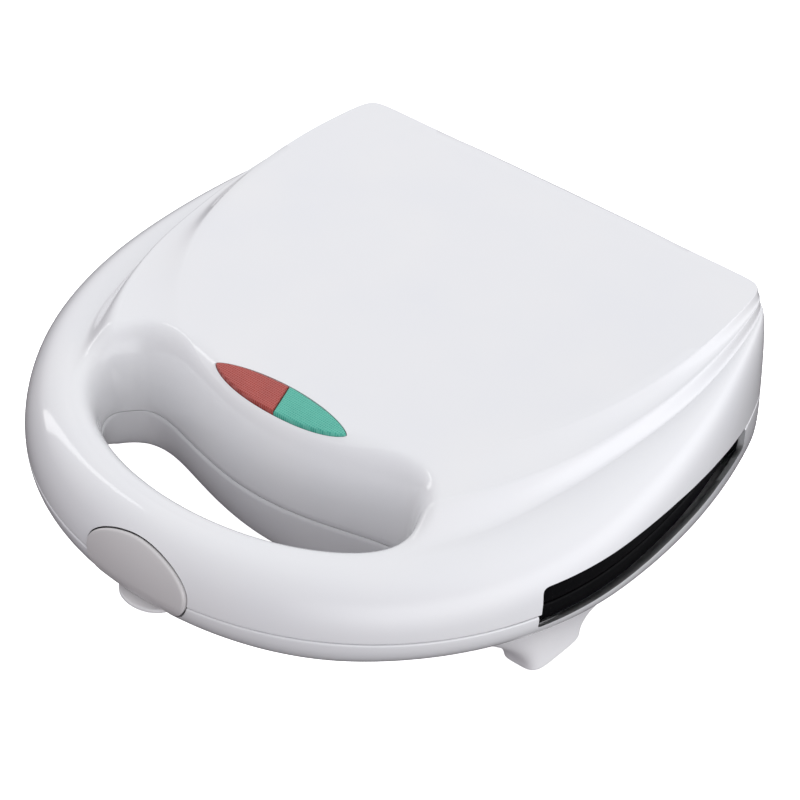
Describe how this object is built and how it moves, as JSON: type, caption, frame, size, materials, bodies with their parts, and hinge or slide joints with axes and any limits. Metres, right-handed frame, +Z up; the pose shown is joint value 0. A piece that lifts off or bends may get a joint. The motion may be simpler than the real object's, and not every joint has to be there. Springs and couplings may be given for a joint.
{
  "type": "donut maker",
  "caption": "White worktop donut maker: hinged lid and base shells forming one carrying ring, ring moulds inside, front latch and two-colour lamp window.",
  "frame": {"origin": "on the worktop under the middle of the object's bounding box", "axes": "+X to the user's right, -Y towards the user and the latch, +Z up"},
  "size_m": [0.235, 0.239, 0.0797],
  "materials": {
    "white_shell": "high gloss white moulding",
    "white_foot": "matt white moulding",
    "grey_latch": "satin warm grey moulding",
    "nonstick": "black non-stick coating on die-cast aluminium",
    "rubber": "matt",
    "red_lens": "clear red moulding with a dotted diffuser",
    "green_lens": "clear green moulding with a dotted diffuser",
    "steel": "zinc plated",
    "aluminium": "mill finish",
    "heater_metal": "oxidised sheath",
    "ceramic": "heat resisting moulding",
    "lamp_glass": "clear",
    "black_moulding": "matt"
  },
  "bodies": {
    "base": {"lower_shell": "white_shell", "front_foot_left": "white_foot", "front_foot_right": "white_foot", "rear_foot_left": "white_foot", "rear_foot_right": "white_foot", "front_foot_pad_left": "rubber", "front_foot_pad_right": "rubber", "rear_foot_pad_left": "rubber", "rear_foot_pad_right": "rubber", "cord_inlet": "black_moulding", "hinge_pin_left": "steel", "hinge_pin_right": "steel", "lower_plate": "nonstick", "lower_heater": "heater_metal", "lower_reflector": "aluminium", "lower_plate_screw_left": "steel", "lower_plate_screw_right": "steel", "terminal_block": "ceramic", "thermal_fuse": "aluminium", "latch_catch": "white_shell", "lower_handle_cover": "white_shell", "lower_plate_frame": "nonstick"},
    "lid": {"upper_shell": "white_shell", "upper_plate": "nonstick", "upper_heater": "heater_metal", "upper_reflector": "aluminium", "upper_plate_screw_left": "steel", "upper_plate_screw_right": "steel", "thermostat": "ceramic", "lamp_holder": "ceramic", "neon_lamp_red": "lamp_glass", "neon_lamp_green": "lamp_glass", "lens_red": "red_lens", "lens_green": "green_lens", "latch_pin": "steel", "latch_bracket_left": "white_shell", "latch_bracket_right": "white_shell", "latch_spring": "steel", "upper_handle_cover": "white_shell", "upper_plate_frame": "nonstick"},
    "latch": {"latch": "grey_latch"}
  },
  "joints": [
    {"name": "lid_hinge", "type": "hinge", "parent": "base", "child": "lid", "pos_m": [0, 0.11505, 0.0385], "axis": [-1, 0, 0], "range_deg": [0, 105]},
    {"name": "latch_pivot", "type": "hinge", "parent": "lid", "child": "latch", "pos_m": [0, -0.10945, 0.0493], "axis": [-1, 0, 0], "range_deg": [0, 10], "stiffness_Nm_per_rad": 0.06}
  ]
}
